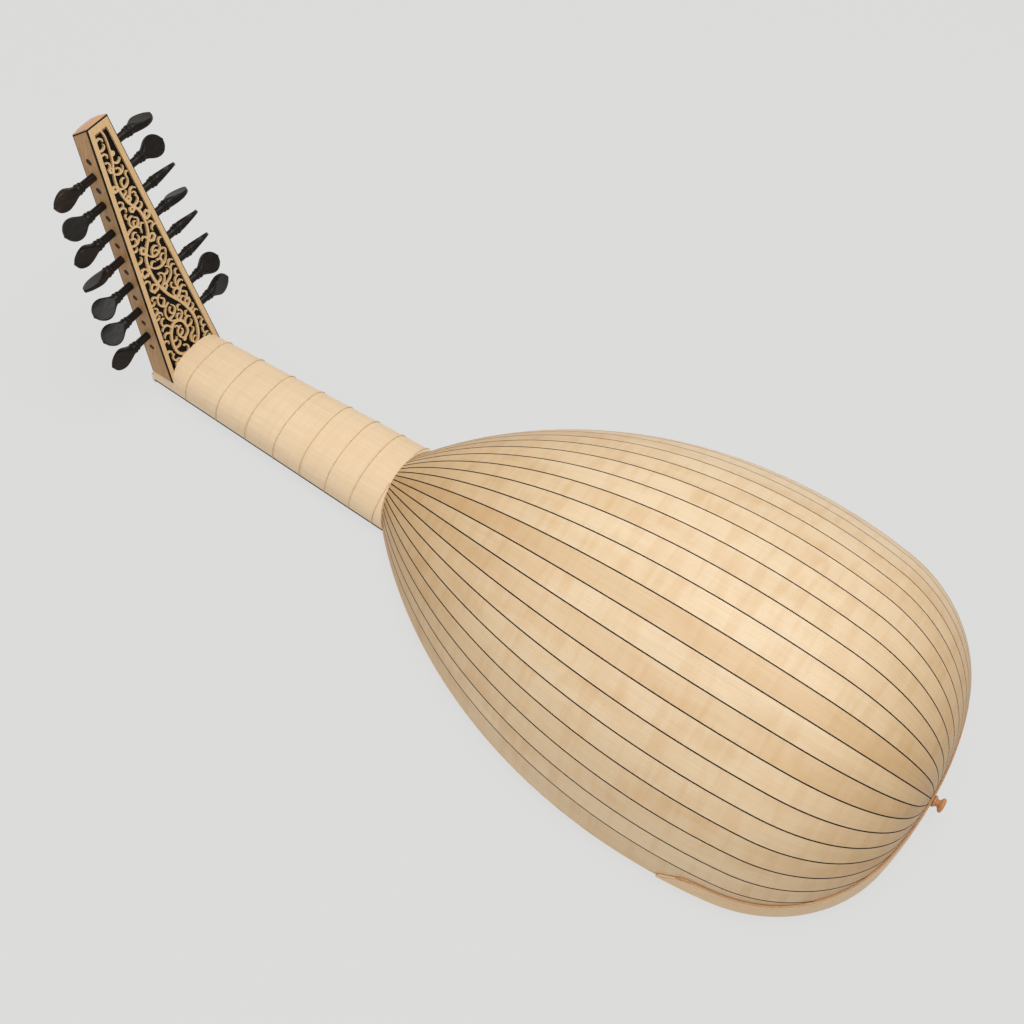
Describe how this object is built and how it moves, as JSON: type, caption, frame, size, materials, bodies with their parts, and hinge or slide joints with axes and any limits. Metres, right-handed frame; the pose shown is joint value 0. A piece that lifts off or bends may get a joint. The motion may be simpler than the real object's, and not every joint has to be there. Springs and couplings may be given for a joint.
{
  "type": "renaissance lute",
  "caption": "Renaissance lute with a ribbed bowl back, fretted neck and a bent-back pierced pegbox with tuning pegs that turn.",
  "frame": {"origin": "centre of the top face of the bridge, the face on which the lute rests when it lies face down", "axes": "+Y from the bridge along the strings to the nut and pegbox, +Z from the soundboard through the bowl back, +X to the bass side"},
  "size_m": [0.3188, 0.744, 0.2346],
  "materials": {
    "maple_ribs": "satin varnish over figured maple",
    "black_line": "matt black-dyed wood",
    "maple_trim": "satin maple",
    "maple_neck": "satin figured maple veneer",
    "spruce_inner": "bare planed spruce",
    "spruce_top": "satin oiled spruce",
    "ebony": "polished ebony",
    "bone": "polished bone",
    "gut": "satin gut",
    "cheek_wood": "satin brown maple",
    "red_brown_wood": "satin fruitwood",
    "bridge_wood": "satin pear wood"
  },
  "bodies": {
    "lute": {"bridge": "bridge_wood", "capping_strip": "maple_trim", "fingerboard": "ebony", "frets": "gut", "neck": "maple_neck", "neck_block": "spruce_inner", "nut": "bone", "pegbox_back": "maple_trim", "pegbox_backing": "black_line", "pegbox_cheek_bass": "cheek_wood", "pegbox_cheek_treble": "cheek_wood", "pegbox_edge_lines": "black_line", "pegbox_end_block": "cheek_wood", "pegbox_end_cap": "red_brown_wood", "rib_01": "maple_ribs", "rib_02": "maple_ribs", "rib_03": "maple_ribs", "rib_04": "maple_ribs", "rib_05": "maple_ribs", "rib_06": "maple_ribs", "rib_07": "maple_ribs", "rib_08": "maple_ribs", "rib_09": "maple_ribs", "rib_10": "maple_ribs", "rib_11": "maple_ribs", "rib_12": "maple_ribs", "rib_13": "maple_ribs", "rib_14": "maple_ribs", "rib_15": "maple_ribs", "rib_16": "maple_ribs", "rib_17": "maple_ribs", "rib_18": "maple_ribs", "rib_19": "maple_ribs", "rib_20": "maple_ribs", "rib_21": "maple_ribs", "rib_22": "maple_ribs", "rib_23": "maple_ribs", "rib_24": "maple_ribs", "rib_25": "maple_ribs", "rib_spacers": "black_line", "soundboard": "spruce_top", "soundboard_bars": "spruce_inner", "strap_button": "red_brown_wood", "strings": "gut", "tail_liner": "spruce_inner"},
    "peg_bass_1_body": {"peg_bass_1": "ebony"},
    "peg_treble_1_body": {"peg_treble_1": "ebony"},
    "peg_bass_2_body": {"peg_bass_2": "ebony"},
    "peg_treble_2_body": {"peg_treble_2": "ebony"},
    "peg_bass_3_body": {"peg_bass_3": "ebony"},
    "peg_treble_3_body": {"peg_treble_3": "ebony"},
    "peg_bass_4_body": {"peg_bass_4": "ebony"},
    "peg_treble_4_body": {"peg_treble_4": "ebony"},
    "peg_bass_5_body": {"peg_bass_5": "ebony"},
    "peg_treble_5_body": {"peg_treble_5": "ebony"},
    "peg_bass_6_body": {"peg_bass_6": "ebony"},
    "peg_treble_6_body": {"peg_treble_6": "ebony"},
    "peg_bass_7_body": {"peg_bass_7": "ebony"},
    "peg_treble_7_body": {"peg_treble_7": "ebony"},
    "peg_bass_8_body": {"peg_bass_8": "ebony"}
  },
  "joints": [
    {"name": "peg_bass_1_turn", "type": "hinge", "parent": "lute", "child": "peg_bass_1_body", "pos_m": [0, 0.60603, 0.04751], "axis": [1, 0, 0], "continuous": true},
    {"name": "peg_treble_1_turn", "type": "hinge", "parent": "lute", "child": "peg_treble_1_body", "pos_m": [0, 0.60927, 0.05867], "axis": [-1, 0, 0], "continuous": true},
    {"name": "peg_bass_2_turn", "type": "hinge", "parent": "lute", "child": "peg_bass_2_body", "pos_m": [0, 0.61252, 0.06983], "axis": [1, 0, 0], "continuous": true},
    {"name": "peg_treble_2_turn", "type": "hinge", "parent": "lute", "child": "peg_treble_2_body", "pos_m": [0, 0.61577, 0.08099], "axis": [-1, 0, 0], "continuous": true},
    {"name": "peg_bass_3_turn", "type": "hinge", "parent": "lute", "child": "peg_bass_3_body", "pos_m": [0, 0.61901, 0.09215], "axis": [1, 0, 0], "continuous": true},
    {"name": "peg_treble_3_turn", "type": "hinge", "parent": "lute", "child": "peg_treble_3_body", "pos_m": [0, 0.62226, 0.1033], "axis": [-1, 0, 0], "continuous": true},
    {"name": "peg_bass_4_turn", "type": "hinge", "parent": "lute", "child": "peg_bass_4_body", "pos_m": [0, 0.6255, 0.11446], "axis": [1, 0, 0], "continuous": true},
    {"name": "peg_treble_4_turn", "type": "hinge", "parent": "lute", "child": "peg_treble_4_body", "pos_m": [0, 0.62875, 0.12562], "axis": [-1, 0, 0], "continuous": true},
    {"name": "peg_bass_5_turn", "type": "hinge", "parent": "lute", "child": "peg_bass_5_body", "pos_m": [0, 0.632, 0.13678], "axis": [1, 0, 0], "continuous": true},
    {"name": "peg_treble_5_turn", "type": "hinge", "parent": "lute", "child": "peg_treble_5_body", "pos_m": [0, 0.63524, 0.14794], "axis": [-1, 0, 0], "continuous": true},
    {"name": "peg_bass_6_turn", "type": "hinge", "parent": "lute", "child": "peg_bass_6_body", "pos_m": [0, 0.63849, 0.1591], "axis": [1, 0, 0], "continuous": true},
    {"name": "peg_treble_6_turn", "type": "hinge", "parent": "lute", "child": "peg_treble_6_body", "pos_m": [0, 0.64173, 0.17026], "axis": [-1, 0, 0], "continuous": true},
    {"name": "peg_bass_7_turn", "type": "hinge", "parent": "lute", "child": "peg_bass_7_body", "pos_m": [0, 0.64498, 0.18142], "axis": [1, 0, 0], "continuous": true},
    {"name": "peg_treble_7_turn", "type": "hinge", "parent": "lute", "child": "peg_treble_7_body", "pos_m": [0, 0.64823, 0.19258], "axis": [-1, 0, 0], "continuous": true},
    {"name": "peg_bass_8_turn", "type": "hinge", "parent": "lute", "child": "peg_bass_8_body", "pos_m": [0, 0.65147, 0.20374], "axis": [1, 0, 0], "continuous": true}
  ]
}
